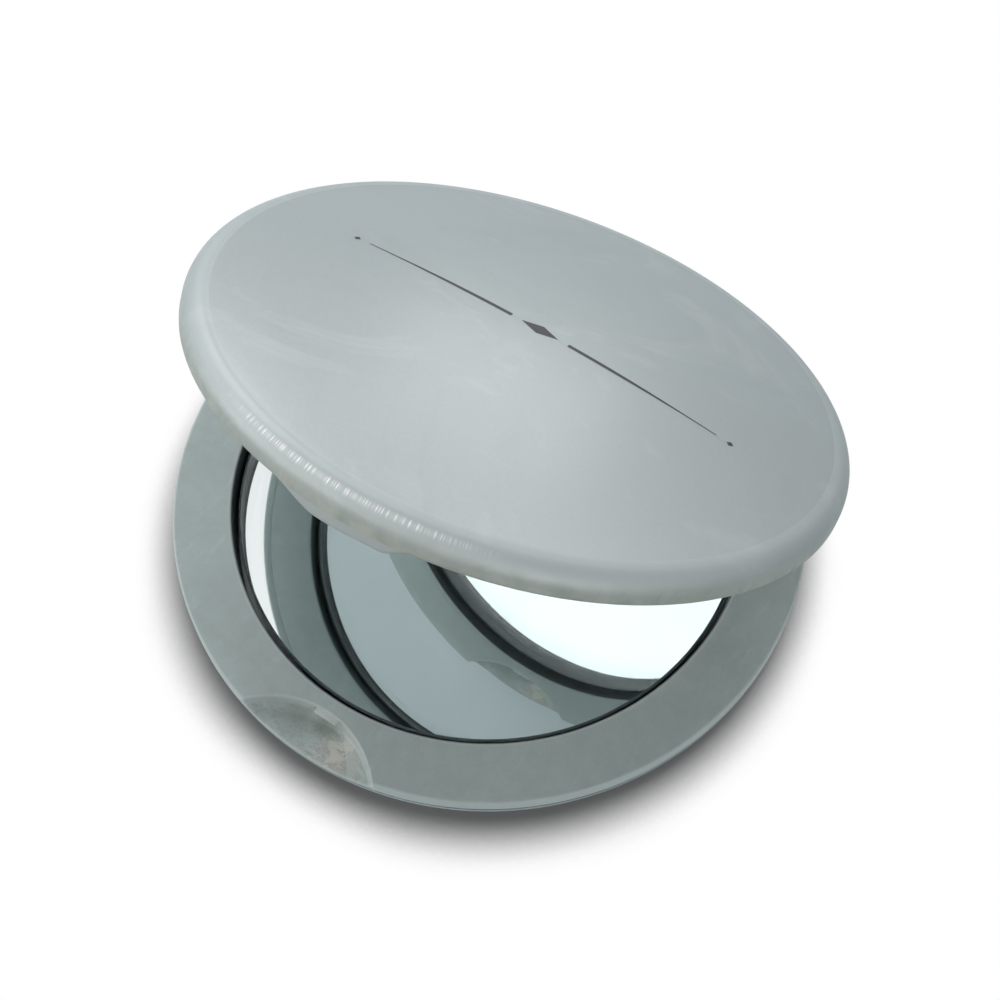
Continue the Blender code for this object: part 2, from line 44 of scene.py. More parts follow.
# Base, in millimetres: radii, heights and walls
CASE = 35.0
FOOT = 29.5
RING_IN = 28.45
RING_TOP = 6.2
FLANGE = 1.7
FLANGE_FOOT = RING_TOP - FLANGE
RING_EDGE = 0.35
LIP = 0.4
SKIRT_OUT = 29.45
SKIRT_FOOT = 1.32
SPIGOT_IN = 32.3
SPIGOT_OUT = 33.3
SPIGOT_FOOT = 3.2
CUP_RIM = 4.2
CUP_FLOOR = 1.0
CUP_WALL = 1.3

# Thumb notch and its nub
NOTCH_R = 11.06
NOTCH_WALL_Y = -30.14
NOTCH_CENTRE_Y = NOTCH_WALL_Y - NOTCH_R
NOTCH_ZONE_Y = -25
NOTCH_HALF = 8.3
NUB_SIZE = (2.7, 1.1, 0.5)
NUB_PLACE = (0.0, NOTCH_WALL_Y - 0.15, RING_TOP - 0.55)
NUB_ROUND = 0.13

# Hinge: the pin's place, the lid's seat on the base and its opening in the photograph
HINGE_Y = 33.0
HINGE_Z = 3.2
LID_SEAT = 3.3
LID_OPEN = math.radians(30.9)
SLOT_HALF = 5.3
BLOCK_HALF = 7.3
BLOCK_FRONT = 30.1

# Lid, in its own frame: parting face at 0, crown upwards
LID = 35.2
LID_IN = 28.3
LID_WALL = 1.2
LID_INNER = LID - LID_WALL
CROWN_SKIN = 0.7
RIM_ROUND = 2.2
CORNER = LID - RIM_ROUND - LID_WALL
PARTING_ROUND = 0.4
SEAM = 0.012
SEAM_ROUND = 0.03
WINDOW_TOP = 1.5

# Mirrors
GLASS_GAP = 0.5
BASE_GLASS = 3.0
BASE_GLASS_TOP = 4.9
LID_GLASS = 2.0
LID_GLASS_FACE = 0.9
LID_GLASS_RADIUS = LID_IN - GLASS_GAP
BEVEL = 0.25
BEVEL_DROP = 0.15
SILVER_NEAR = 0.03
SILVER_FAR = 0.004
SILVER_INSET = 0.05
PAINT_OUT = 0.012
PAINT_IN = 0.03
PAINT_UNDER = 0.014

# The crown is part of a sphere, and meets the rim's round at this slope
CROWN_ANGLE = math.radians(7.0)
CROWN_EDGE = LID - RIM_ROUND + RIM_ROUND * math.sin(CROWN_ANGLE)
CROWN_SPHERE = CROWN_EDGE / math.sin(CROWN_ANGLE)
CROWN_TOP = 3.9 + CROWN_SPHERE - math.sqrt(CROWN_SPHERE**2 - LID_GLASS_RADIUS**2)

# Print: a lozenge in the middle, and on each side a tapered rule and a dot
PRINT_Y = 0.8
PRINT_LIFT = 0.012
RULE_ENDS = (3.4, 21.0)
RULE_SHOULDER = 6.0
RULE_THIN = 0.07
RULE_SWELL = 0.20
DOT_AT = 22.6
DOT_HALF = 0.4
LOZENGE = (2.2, 0.9)
POINT = 0.001
STRIP_STEPS = 40

# Facets: the bearing of the notch, the steps all round, and the angles that stay sharp
FRONT = -90.0
ROUND_STEPS = 288
CREASE = 35.0
GLASS_CREASE = 8.0
NUB_CREASE = 12.0

# Colours
PEARL = ((0.383, 0.432, 0.441), (0.419, 0.468, 0.477))
PEARL_SWIRL = (0.315, 0.360, 0.369)
PEARL_WISP = (0.540, 0.567, 0.572)
PEARL_FLECK = (0.62, 0.65, 0.66)
MARBLE = ((0.32, 0.35, 0.305), (0.46, 0.48, 0.42))
UNDER_TONE = (0.43, 0.475, 0.468)
# Painted highlight: the glints on the lid's rim
GLINT_TONE = (0.97, 0.97, 0.95)
BASE_RING = ((0.536, 0.630, 0.619), (0.604, 0.709, 0.693))
LID_RING = ((0.42, 0.465, 0.457), (0.47, 0.52, 0.513))
# Painted light: the ring's tones made lighter for the catch nub's lit front
LIT_NUB = ((0.66, 0.72, 0.70), (0.72, 0.78, 0.76))
# Painted shade for the dark walls down into the two mirrors' recesses
WALL_SHADE_TONE = (0.055, 0.068, 0.068)
LID_WALL_SHADE_TONE = (0.085, 0.112, 0.112)
# Painted highlights on the base ring's rounded inner and outer edges
LIP_HIGHLIGHT_TONE = (0.86, 0.90, 0.88)
SIDE_HIGHLIGHT_TONE = (0.80, 0.86, 0.84)
# Painted light on the notch floor's right side, with scuff marks
LIT_SCUFF = ((0.76, 0.74, 0.68), (0.92, 0.90, 0.83))
CRACK_TONE = (0.30, 0.31, 0.28)
# Painted shadows beside and under the catch nub
NOTCH_SHADOW_TONE = (0.27, 0.31, 0.275)
SHADE_TONE = (0.22, 0.24, 0.21)
# Painted highlight along the notch's edge
NOTCH_EDGE_HIGHLIGHT_TONE = (0.88, 0.90, 0.87)
GLASS = ((0.97, 0.99, 0.985), (0.95, 0.975, 0.97))
SILVER = ((0.78, 0.81, 0.815), (0.81, 0.835, 0.84))
EDGE_PAINT = ((0.085, 0.112, 0.115), (0.13, 0.168, 0.172))
FOAM = ((0.02, 0.02, 0.022), (0.05, 0.05, 0.052))
STEEL = ((0.50, 0.51, 0.52), (0.62, 0.63, 0.64))
INK = ((0.012, 0.013, 0.018), (0.028, 0.03, 0.036))

# Lid's glints: radius and bearing of their middle, and half of the bearings that they fill
GLINT_RADIUS = 34.50
GLINT_BEARING = -1.58
GLINT_SPREAD = (0.20, 0.46)

# World: its level as a light, and the sky and the window that reflections see
WORLD_LEVEL = 0.122
SKY_LOW = -0.05
SKY_HIGH = 0.35
SKY_HORIZON = 0.78
SKY_ZENITH = 1.06
WINDOW_WAY = (-0.262, -0.608, 0.750)
WINDOW_REACH = (math.cos(math.radians(42)), math.cos(math.radians(28)))
WINDOW_GAIN = 1.0

# Floor: the shadow that the camera sees, and the pale table that reflections see
CONTACT_REACH = 0.013
CONTACT_LEAN = (-0.04, 0.17, 0.985)
CONTACT_LOW = 0.43
CONTACT_HIGH = 0.80
CONTACT_CURVE = 1.4
CONTACT_TONE = (0.09, 0.092, 0.092)
TABLE_TONE = (0.86, 0.97, 1.0)
TABLE_GLOW = (0.98, 0.98, 0.98)
FLOOR_LIFT = 0.75
MIRRORED_LIFT = 0.06

# Lamps: name, place in metres, width and height in metres, watts
LAMP_AIM = (0, 0, 0.01)
LAMPS = (
    ("left", (-0.5142, 0.0605, 0.3025), (0.25, 0.25), 0.47),
    ("back_left", (-0.3564, 0.3564, 0.3267), (0.25, 0.25), 1.12),
    ("back", (0.0, 0.48, 0.36), (0.25, 0.25), 0.29),
    ("right", (0.4839, 0.121, 0.3327), (0.25, 0.25), 0.12),
    ("low_left", (-0.4849, -0.303, 0.1818), (0.42, 0.34), 1.05),
    ("front_right", (0.4221, -0.3015, 0.3015), (0.25, 0.25), 0.65),
    ("low_back", (-0.17, 0.5642, 0.113), (0.16, 0.16), 0.13),
)

# Camera: bearing, height above the horizon, distance and aim in millimetres, lens and tilt
CAMERA_BEARING = math.radians(35.07)
CAMERA_HEIGHT = math.radians(62.79)
CAMERA_DISTANCE = 185.02
CAMERA_AIM = (1.136, 0.255, 6.2)
CAMERA_FOCUS = 1677.43
CAMERA_ROLL = math.radians(-1.523)
CAMERA_NUDGE = (-0.35, -0.59)
IMAGE_WIDTH = 1000
SENSOR = 36.0

# Boxes that cut the CAD's hinge and catch out of the rings, as low and high corners
EARS_HOLE = (
    (-BLOCK_HALF - 0.02, BLOCK_FRONT - 0.02, -1.0),
    (BLOCK_HALF + 0.02, CASE + 1, RING_TOP + 1),
)
EARS = ((-BLOCK_HALF, BLOCK_FRONT, -1), (BLOCK_HALF, CASE + 1, RING_TOP + 1))
CUP_HOLE = (
    (-BLOCK_HALF - 0.3, BLOCK_FRONT - 0.3, -1.0),
    (BLOCK_HALF + 0.3, CASE + 1, RING_TOP),
)
KNUCKLE_HOLE = ((-5.02, 30.98, -8), (5.02, 36, 8))
KNUCKLE = ((-5.01, 30.98, -8), (5.01, 36, 8))
HOOK_HOLE = ((-1.22, -32.6, -1), (1.22, -31, 0.6))
HOOK = ((-1.21, -32.6, -3), (1.21, -30.5, 0.6))

# Where the lid's own frame stands in the world, in metres
LID_PLACE = (
    Matrix.Translation((0, HINGE_Y * MM, HINGE_Z * MM))
    @ Matrix.Rotation(-LID_OPEN, 4, "X")
    @ Matrix.Translation((0, -HINGE_Y * MM, LID_SEAT * MM))
)


def crown(radius):
    """Height of the lid's crown above its parting face."""
    return CROWN_TOP - CROWN_SPHERE + math.sqrt(CROWN_SPHERE**2 - radius**2)


# Height where the rim's round ends and the lid's upright side begins
LID_SIDE = crown(CROWN_EDGE) - RIM_ROUND * math.cos(CROWN_ANGLE)


def smooth(low, high, value):
    """An eased step from 0 at low to 1 at high."""
    share = min(max((value - low) / (high - low), 0.0), 1.0)
    return share * share * (3 - 2 * share)


def arc(centre, radii, start, end, steps):
    """Points of an elliptical arc between two angles in degrees."""
    points = []
    for step in range(steps + 1):
        angle = math.radians(start + (end - start) * step / steps)
        across = centre[0] + radii[0] * math.cos(angle)
        points.append((across, centre[1] + radii[1] * math.sin(angle)))
    return points


def dense(points, step):
    """Split a profile's long stretches so that none is longer than a step."""
    result = [points[0]]
    for start, end in zip(points, points[1:]):
        count = max(1, math.ceil(math.dist(start, end) / step))
        for index in range(1, count + 1):
            share = index / count
            result.append(tuple(a + (b - a) * share for a, b in zip(start, end)))
    return result


def even_angles():
    """Evenly spread angles all round."""
    return [math.tau * index / ROUND_STEPS for index in range(ROUND_STEPS)]


def fine_angles(half, fine, coarse, extra=()):
    """Angles all round, closer together near the front, with extra ones put in."""
    angles = []
    value = -180.0
    while value < 180.0 - 1e-6:
        angles.append(value)
        value += fine if abs(value + fine / 2) < half else coarse
    angles = sorted(set(angles) | set(extra))
    return [math.radians(FRONT + value) for value in angles]


def add(name, mesh, crease=CREASE):
    """A smoothly shaded piece made of a mesh."""
    piece = bpy.data.objects.new(name, mesh)
    bpy.context.scene.collection.objects.link(piece)
    mesh.shade_smooth()
    mesh.set_sharp_from_angle(angle=math.radians(crease))
    return piece


def lathe(name, profile, angles, closed=False, move=None, place=None, crease=CREASE):
    """Turn a profile of (radius, height) about Z, with a rule that may move each point."""
    points = []
    rings = []
    for radius, height in profile:
        if radius < 1e-6:
            rings.append([len(points)])
            points.append((0.0, 0.0, height * MM))
            continue
        ring = []
        for angle in angles:
            x = radius * math.cos(angle)
            y = radius * math.sin(angle)
            z = move(x, y, height) if move else height
            ring.append(len(points))
            points.append((x * MM, y * MM, z * MM))
        rings.append(ring)
    pairs = list(zip(rings, rings[1:]))
    if closed:
        pairs.append((rings[-1], rings[0]))
    faces = []
    for upper, lower in pairs:
        for index in range(len(angles)):
            after = (index + 1) % len(angles)
            if len(upper) == 1:
                faces.append((upper[0], lower[index], lower[after]))
            elif len(lower) == 1:
                faces.append((upper[after], upper[index], lower[0]))
            else:
                faces.append((upper[after], upper[index], lower[index], lower[after]))
    mesh = bpy.data.meshes.new(name)
    mesh.from_pydata(points, [], faces)
    if place:
        mesh.transform(place)
    shape = bmesh.new()
    shape.from_mesh(mesh)
    bmesh.ops.remove_doubles(shape, verts=shape.verts, dist=2e-7)
    bmesh.ops.dissolve_degenerate(shape, edges=shape.edges, dist=1e-7)
    bmesh.ops.recalc_face_normals(shape, faces=shape.faces)
    shape.to_mesh(mesh)
    shape.free()
    return add(name, mesh, crease)


def cube(size, middle):
    """A box as a bmesh, from its size and middle in millimetres."""
    shape = bmesh.new()
    bmesh.ops.create_cube(shape, size=1.0)
    stretch = Matrix.Diagonal((*(part * MM for part in size), 1.0))
    shape.transform(Matrix.Translation([part * MM for part in middle]) @ stretch)
    return shape


def block(low, high, place=None):
    """A box between two corners, used to cut or to keep part of a piece."""
    mesh = bpy.data.meshes.new("block")
    size = [b - a for a, b in zip(low, high)]
    shape = cube(size, [(a + b) / 2 for a, b in zip(low, high)])
    shape.to_mesh(mesh)
    shape.free()
    if place:
        mesh.transform(place)
    piece = bpy.data.objects.new("block", mesh)
    bpy.context.scene.collection.objects.link(piece)
    return piece


def carve(piece, operation, region, place=None):
    """Cut or trim a piece with a box, and keep the result as its mesh."""
    cutter = block(*region, place)
    step = piece.modifiers.new("carve", "BOOLEAN")
    step.operation = operation
    step.solver = "EXACT"
    step.object = cutter
    bpy.context.view_layer.update()
    shown = piece.evaluated_get(bpy.context.evaluated_depsgraph_get())
    result = bpy.data.meshes.new_from_object(shown)
    piece.modifiers.clear()
    piece.data = result
    result.shade_smooth()
    result.set_sharp_from_angle(angle=math.radians(CREASE))
    bpy.data.objects.remove(cutter)


def coat(piece, surface):
    """Give a piece one material in place of what it has."""
    piece.data.materials.clear()
    piece.data.materials.append(surface)


def dress(piece, body, slot, surface, *nodes):
    """Give a piece its material and its body, and hide the CAD nodes that it stands for."""
    coat(piece, surface)
    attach(piece, body)
    if nodes:
        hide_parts(*nodes)


class Graph:
    """A short way to write a node tree. Any number may be a node's output instead."""

    def __init__(self, tree):
        self.tree = tree

    def node(self, kind, **settings):
        made = self.tree.nodes.new(kind)
        for key, value in settings.items():
            setattr(made, key, value)
        return made

    def link(self, source, target):
        self.tree.links.new(source, target)

    def fill(self, socket, value):
        """Link a node's output to a socket, or set its number."""
        if hasattr(value, "is_linked"):
            self.link(value, socket)
        else:
            socket.default_value = value

    def calc(self, operation, first, second=0.0):
        made = self.node("ShaderNodeMath", operation=operation)
        self.fill(made.inputs[0], first)
        self.fill(made.inputs[1], second)
        return made.outputs[0]

    def plus(self, first, second):
        return self.calc("ADD", first, second)

    def times(self, first, *others):
        """The product of all that is given."""
        for other in others:
            first = self.calc("MULTIPLY", first, other)
        return first

    def apart(self, first, second):
        """How far two values are apart, without a sign."""
        return self.calc("ABSOLUTE", self.calc("SUBTRACT", first, second))

    def span(self, source, low, high, first, second, **settings):
        """Carry the range from low to high over to the range from first to second."""
        made = self.node("ShaderNodeMapRange", **settings)
        self.link(source, made.inputs["Value"])
        self.fill(made.inputs["From Min"], low)
        self.fill(made.inputs["From Max"], high)
        self.fill(made.inputs["To Min"], first)
        self.fill(made.inputs["To Max"], second)
        return made.outputs["Result"]

    def mix(self, factor, first, second):
        """A colour between two others."""
        made = self.node("ShaderNodeMix", data_type="RGBA")
        self.fill(made.inputs["Factor"], factor)
        for key, value in (("A", first), ("B", second)):
            socket = next(s for s in made.inputs if s.name == key and s.type == "RGBA")
            self.fill(socket, value if hasattr(value, "is_linked") else (*value, 1.0))
        return next(s for s in made.outputs if s.type == "RGBA")

    def blend(self, source, low, high, tones):
        """A colour that goes from one tone to another as a source rises."""
        return self.mix(self.span(source, low, high, 0.0, 1.0), *tones)


class Surface(Graph):
    """A material with procedural colour, gloss and relief."""

    def __init__(self, name):
        self.material = bpy.data.materials.new(name)
        self.material.use_nodes = True
        super().__init__(self.material.node_tree)
        self.bsdf = self.tree.nodes["Principled BSDF"]
        self.place = self.node("ShaderNodeTexCoord").outputs["Object"]

    def set(self, **values):
        """Fill the surface's sockets, by their names with _ for a space."""
        for key, value in values.items():
            self.fill(self.bsdf.inputs[key.replace("_", " ")], value)

    def scaled(self, scale):
        """Object coordinates stretched along the axes."""
        stretch = self.node("ShaderNodeMapping")
        stretch.inputs["Scale"].default_value = scale
        self.link(self.place, stretch.inputs["Vector"])
        return stretch.outputs["Vector"]

    def noise(self, scale, detail=3.0, roughness=0.5, distortion=0.0, where=None):
        made = self.node("ShaderNodeTexNoise")
        made.inputs["Scale"].default_value = scale
        made.inputs["Detail"].default_value = detail
        made.inputs["Roughness"].default_value = roughness
        made.inputs["Distortion"].default_value = distortion
        self.link(where or self.place, made.inputs["Vector"])
        return made.outputs["Fac"]

    def far_from(self, point, flat=False):
        """Distance in millimetres from a point, or in plan from an upright line through it."""
        made = self.node("ShaderNodeVectorMath", operation="DISTANCE")
        self.link(self.scaled((1.0, 1.0, 0.0)) if flat else self.place, made.inputs[0])
        made.inputs[1].default_value = [part * MM for part in point]
        return self.times(made.outputs["Value"], 1.0 / MM)

    def near(self, point, inner, outer):
        """A spot that fades from 1 to 0 between two distances from a point."""
        return self.span(self.far_from(point), inner, outer, 1.0, 0.0)

    def in_lid(self):
        """The lid's own coordinates in metres, whole and split, and the distance from its axis."""
        turn = self.node("ShaderNodeMapping", vector_type="TEXTURE")
        turn.inputs["Location"].default_value = LID_PLACE.translation
        turn.inputs["Rotation"].default_value = LID_PLACE.to_euler()
        self.link(self.place, turn.inputs["Vector"])
        split = self.node("ShaderNodeSeparateXYZ")
        self.link(turn.outputs["Vector"], split.inputs["Vector"])
        flat = self.node("ShaderNodeCombineXYZ")
        self.link(split.outputs["X"], flat.inputs["X"])
        self.link(split.outputs["Y"], flat.inputs["Y"])
        plan = self.node("ShaderNodeVectorMath", operation="LENGTH")
        self.link(flat.outputs["Vector"], plan.inputs[0])
        return turn.outputs["Vector"], split.outputs, plan.outputs["Value"]

    def bump(self, height, strength, distance):
        made = self.node("ShaderNodeBump")
        made.inputs["Strength"].default_value = strength
        made.inputs["Distance"].default_value = distance
        self.link(height, made.inputs["Height"])
        self.link(made.outputs["Normal"], self.bsdf.inputs["Normal"])


def lid_marks_and_glints(made, tone, height, dull):
    """Marbled streaks low on the lid's rim, painted glints along its front and a duller bend."""
    where, (across, along, up), plan = made.in_lid()
    rim = made.span(plan, 33.6 * MM, 34.6 * MM, 0.0, 1.0)
    low = made.span(up, 0.4 * MM, 2.6 * MM, 1.0, 0.0)
    marble = made.noise(210.0, 4.0, 0.65, 1.8, where)
    streak = made.blend(marble, 0.35, 0.65, MARBLE)
    tone = made.mix(made.times(rim, low, 0.85), tone, streak)
    tone = made.mix(made.span(up, 0.02 * MM, 0.12 * MM, 0.9, 0.0), tone, UNDER_TONE)

    bearing = made.calc("ARCTAN2", along, across)
    tick = made.node("ShaderNodeTexNoise", noise_dimensions="1D")
    tick.inputs["Scale"].default_value = 130.0
    tick.inputs["Detail"].default_value = 4.0
    tick.inputs["Roughness"].default_value = 0.7
    made.link(bearing, tick.inputs["W"])
    tick = tick.outputs["Fac"]
    edge = made.span(made.apart(plan, GLINT_RADIUS * MM), 0.08 * MM, 0.36 * MM, 1.0, 0.0)
    upper = made.span(up, 2.0 * MM, 2.6 * MM, 0.0, 1.0)
    front = made.span(made.apart(bearing, GLINT_BEARING), *GLINT_SPREAD, 1.0, 0.0)
    glint = made.times(edge, upper, front, made.span(tick, 0.50, 0.60, 0.15, 1.0))
    # Painted highlight: glints, bright ticks of colour along the rim's front.
    tone = made.mix(made.times(glint, 0.9), tone, GLINT_TONE)
    height = made.plus(height, made.times(tick, rim, 14.0))

    bend = made.span(plan, 32.6 * MM, 33.3 * MM, 0.0, 0.20)
    made.set(Coat_Roughness=made.plus(bend, 0.22))
    return tone, height, made.plus(dull, bend)


def pearl_lacquer(on_lid=False):
    """Cool grey pearl plastic under gloss lacquer, with faint marbled swirls."""
    made = Surface("pearl_lid" if on_lid else "pearl_base")
    swirl = made.noise(26.0, 5.0, 0.62, 2.2, made.scaled((1.0, 0.6, 1.0)))
    wisp = made.noise(48.0, 4.0, 0.60, 3.0, made.scaled((0.7, 1.0, 1.0)))
    cloud = made.noise(16.0, 2.0, 0.5, 0.6)
    grain = made.noise(2600.0, 2.0, 0.6)
    tone = made.blend(cloud, 0.3, 0.7, PEARL)
    tone = made.mix(made.span(swirl, 0.52, 0.70, 0.0, 0.34), tone, PEARL_SWIRL)
    tone = made.mix(made.span(wisp, 0.56, 0.74, 0.0, 0.40), tone, PEARL_WISP)
    tone = made.mix(made.span(grain, 0.35, 0.75, 0.0, 0.10), tone, PEARL_FLECK)
    height = made.plus(grain, made.noise(420.0, 2.0))
    dull = made.span(grain, 0.2, 0.8, 0.32, 0.42)
    made.set(Metallic=0.40, Coat_Weight=0.6, Coat_Roughness=0.22, Coat_IOR=1.5)
    if on_lid:
        tone, height, dull = lid_marks_and_glints(made, tone, height, dull)
    made.set(Base_Color=tone, Roughness=dull)
    made.bump(height, 0.05, 0.0002)
    return made.material


def notch_marks_and_light(made, tone, height):
    """The notch's scuffed patch with painted light on it, painted shadows beside and under the nub,
    and a painted highlight round its edge.
    """
    torn = made.noise(430.0, 6.0, 0.72, 0.8)
    worn_and_lit = made.span(torn, 0.44, 0.58, 0.0, 1.0)
    away = made.far_from((0.0, NOTCH_CENTRE_Y, 0.0), flat=True)
    bowl = made.span(away, NOTCH_R - 0.45, NOTCH_R - 0.15, 1.0, 0.0)
    # Painted light with scuff marks: the right of the notch floor made lighter and warmer where it
    # faces the light, broken up by worn spots.
    lit_scuff = made.times(made.near((3.4, -33.2, 4.8), 1.0, 4.0), bowl)
    tone = made.mix(made.times(lit_scuff, 0.45), tone, LIT_SCUFF[0])
    tone = made.mix(made.times(lit_scuff, worn_and_lit, 0.75), tone, LIT_SCUFF[1])
    crack = made.span(made.apart(torn, 0.5), 0.004, 0.016, 0.5, 0.0)
    tone = made.mix(made.times(crack, bowl), tone, CRACK_TONE)
    # Painted shadow: the notch darkened to the left of the nub, in its shade.
    nub_side_shadow = made.times(made.near((-3.0, -31.2, 5.2), 0.6, 3.6), bowl)
    tone = made.mix(made.times(nub_side_shadow, 0.55), tone, NOTCH_SHADOW_TONE)
    # Painted shadow: darker just under the nub.
    shade = made.times(made.near((0.5, -31.0, 5.2), 0.9, 2.0), bowl)
    tone = made.mix(made.times(shade, 0.5), tone, SHADE_TONE)
    # Painted highlight: a pale line along the notch's front edge.
    edge_highlight = made.span(made.apart(away, NOTCH_R + 0.06), 0.03, 0.15, 1.0, 0.0)
    edge_highlight = made.times(edge_highlight, made.near((0.0, -33.0, RING_TOP), 8.6, 9.4))
    tone = made.mix(made.times(edge_highlight, 0.5), tone, NOTCH_EDGE_HIGHLIGHT_TONE)
    return tone, made.plus(height, made.times(lit_scuff, worn_and_lit, 4.0))


def base_ring_marks_and_light(made, tone, height):
    """The base ring's notch, painted highlights on its edges and painted shade on the wall round
    the mirror.
    """
    tone, height = notch_marks_and_light(made, tone, height)
    plan = made.far_from((0.0, 0.0, 0.0), flat=True)
    # Painted highlight: a pale line along the top of the ring's rounded inner edge.
    lip_highlight = made.span(made.apart(plan, RING_IN + 0.33), 0.02, 0.14, 0.45, 0.0)
    tone = made.mix(lip_highlight, tone, LIP_HIGHLIGHT_TONE)
    # Painted highlight: the ring's outer rounded edge made paler.
    tone = made.mix(made.span(plan, CASE - 0.28, CASE - 0.10, 0.0, 0.45), tone, SIDE_HIGHLIGHT_TONE)
    # Painted shade: the wall down into the mirror's recess is coloured nearly black, for the shade
    # there.
    wall = made.span(plan, RING_IN + 0.06, RING_IN + 0.2, 1.0, 0.0)
    return made.mix(wall, tone, WALL_SHADE_TONE), height


def lid_ring_shade(made, tone, height):
    """Painted shade on the wall round the lid's mirror."""
    plan = made.in_lid()[2]
    wall = made.span(plan, (LID_IN + 0.06) * MM, (LID_IN + 0.2) * MM, 1.0, 0.0)
    # Painted shade: the wall down into the lid's mirror recess is coloured nearly black.
    return made.mix(wall, tone, LID_WALL_SHADE_TONE), height


def satin_plastic(name, tones, marks_and_light_rule=None, metal=0.0, gloss=0.3):
    """Moulded plastic with a fine grain and light rub marks, and a rule that adds its own marks and
    painted light and shade.
    """
    made = Surface(name)
    cloud = made.noise(60.0, 4.0, 0.6, 0.8)
    rub = made.noise(900.0, 3.0, 0.7, 0.4, made.scaled((1.0, 0.25, 1.0)))
    grain = made.noise(3800.0, 2.0, 0.5)
    mottle = made.noise(520.0, 5.0, 0.75)
    darker = tuple(0.62 * part for part in tones[0])
    lighter = tuple(1.22 * part for part in tones[1])
    tone = made.blend(cloud, 0.3, 0.7, tones)
    tone = made.mix(made.span(mottle, 0.40, 0.62, 0.0, 0.14), tone, darker)
    tone = made.mix(made.span(rub, 0.58, 0.78, 0.0, 0.35), tone, lighter)
    height = made.plus(grain, rub)
    if marks_and_light_rule:
        tone, height = marks_and_light_rule(made, tone, height)
    made.set(Base_Color=tone, Roughness=made.span(rub, 0.3, 0.7, 0.34, 0.46))
    made.set(Metallic=metal, Specular_IOR_Level=gloss)
    made.bump(height, 0.12, 0.00015)
    return made.material


def clear_glass():
    """Float glass with faint dust and wipe marks in its gloss."""
    made = Surface("clear_glass")
    wipe = made.noise(140.0, 4.0, 0.65, 0.5, made.scaled((1.0, 0.3, 1.0)))
    made.set(Base_Color=made.blend(wipe, 0.4, 0.8, GLASS))
    made.set(Roughness=made.span(wipe, 0.55, 0.85, 0.0, 0.012))
    made.set(IOR=1.52, Transmission_Weight=1.0)
    return made.material


def silver():
    """The silvering behind the glass, a little uneven."""
    made = Surface("silvering")
    cloud = made.noise(30.0, 2.0)
    made.set(Base_Color=made.blend(cloud, 0.3, 0.7, SILVER))
    made.set(Roughness=made.span(cloud, 0.3, 0.7, 0.0, 0.004), Metallic=1.0)
    return made.material


def edge_paint():
    """The dark paint that seals a mirror's cut edge."""
    made = Surface("edge_paint")
    drip = made.noise(500.0, 3.0)
    made.set(Base_Color=made.blend(drip, 0.3, 0.7, EDGE_PAINT))
    made.set(Roughness=made.span(drip, 0.3, 0.7, 0.4, 0.6))
    made.bump(drip, 0.1, 0.0001)
    return made.material


def foam():
    """Black foam with small cells."""
    made = Surface("adhesive_foam")
    cell = made.node("ShaderNodeTexVoronoi")
    cell.inputs["Scale"].default_value = 4000.0
    made.link(made.place, cell.inputs["Vector"])
    made.set(Base_Color=made.blend(cell.outputs["Distance"], 0.0, 0.8, FOAM), Roughness=0.9)
    made.bump(cell.outputs["Distance"], 0.4, 0.0001)
    return made.material


def drawn_steel():
    """Steel wire with drawing marks along X."""
    made = Surface("drawn_steel")
    drawn = made.noise(3000.0, 3.0, 0.6, 0.0, made.scaled((0.03, 1.0, 1.0)))
    made.set(Base_Color=made.blend(drawn, 0.3, 0.7, STEEL))
    made.set(Roughness=made.span(drawn, 0.3, 0.7, 0.22, 0.36), Metallic=1.0)
    made.bump(drawn, 0.1, 0.00005)
    return made.material


def print_ink():
    """The black print on the lid, with a soft sheen."""
    made = Surface("print_ink")
    speck = made.noise(1800.0, 2.0)
    made.set(Base_Color=made.blend(speck, 0.35, 0.7, INK))
    made.set(Roughness=made.span(speck, 0.3, 0.7, 0.28, 0.4))
    return made.material


def tab_drop(x):
    """How far the lid's lower edge drops at a place across the front tab."""
    if x < 0:
        return 1.2 * (1.0 - smooth(1.4, 7.0, -x))
    return 1.2 - 0.1 * smooth(0.0, 5.0, x) - 1.1 * smooth(5.2, 8.0, x)


def lid_edge(x, y, z):
    """Moves the lid's lower edge down into the tab, and up over the hinge knuckle."""
    if y < 0 and z < LID_SIDE + 0.6:
        return z - tab_drop(x) * (1.0 - smooth(0.35, LID_SIDE + 0.6, z))
    if y > 0 and abs(x) < SLOT_HALF and math.hypot(x, y) > 31.0:
        return max(z, WINDOW_TOP)
    return z


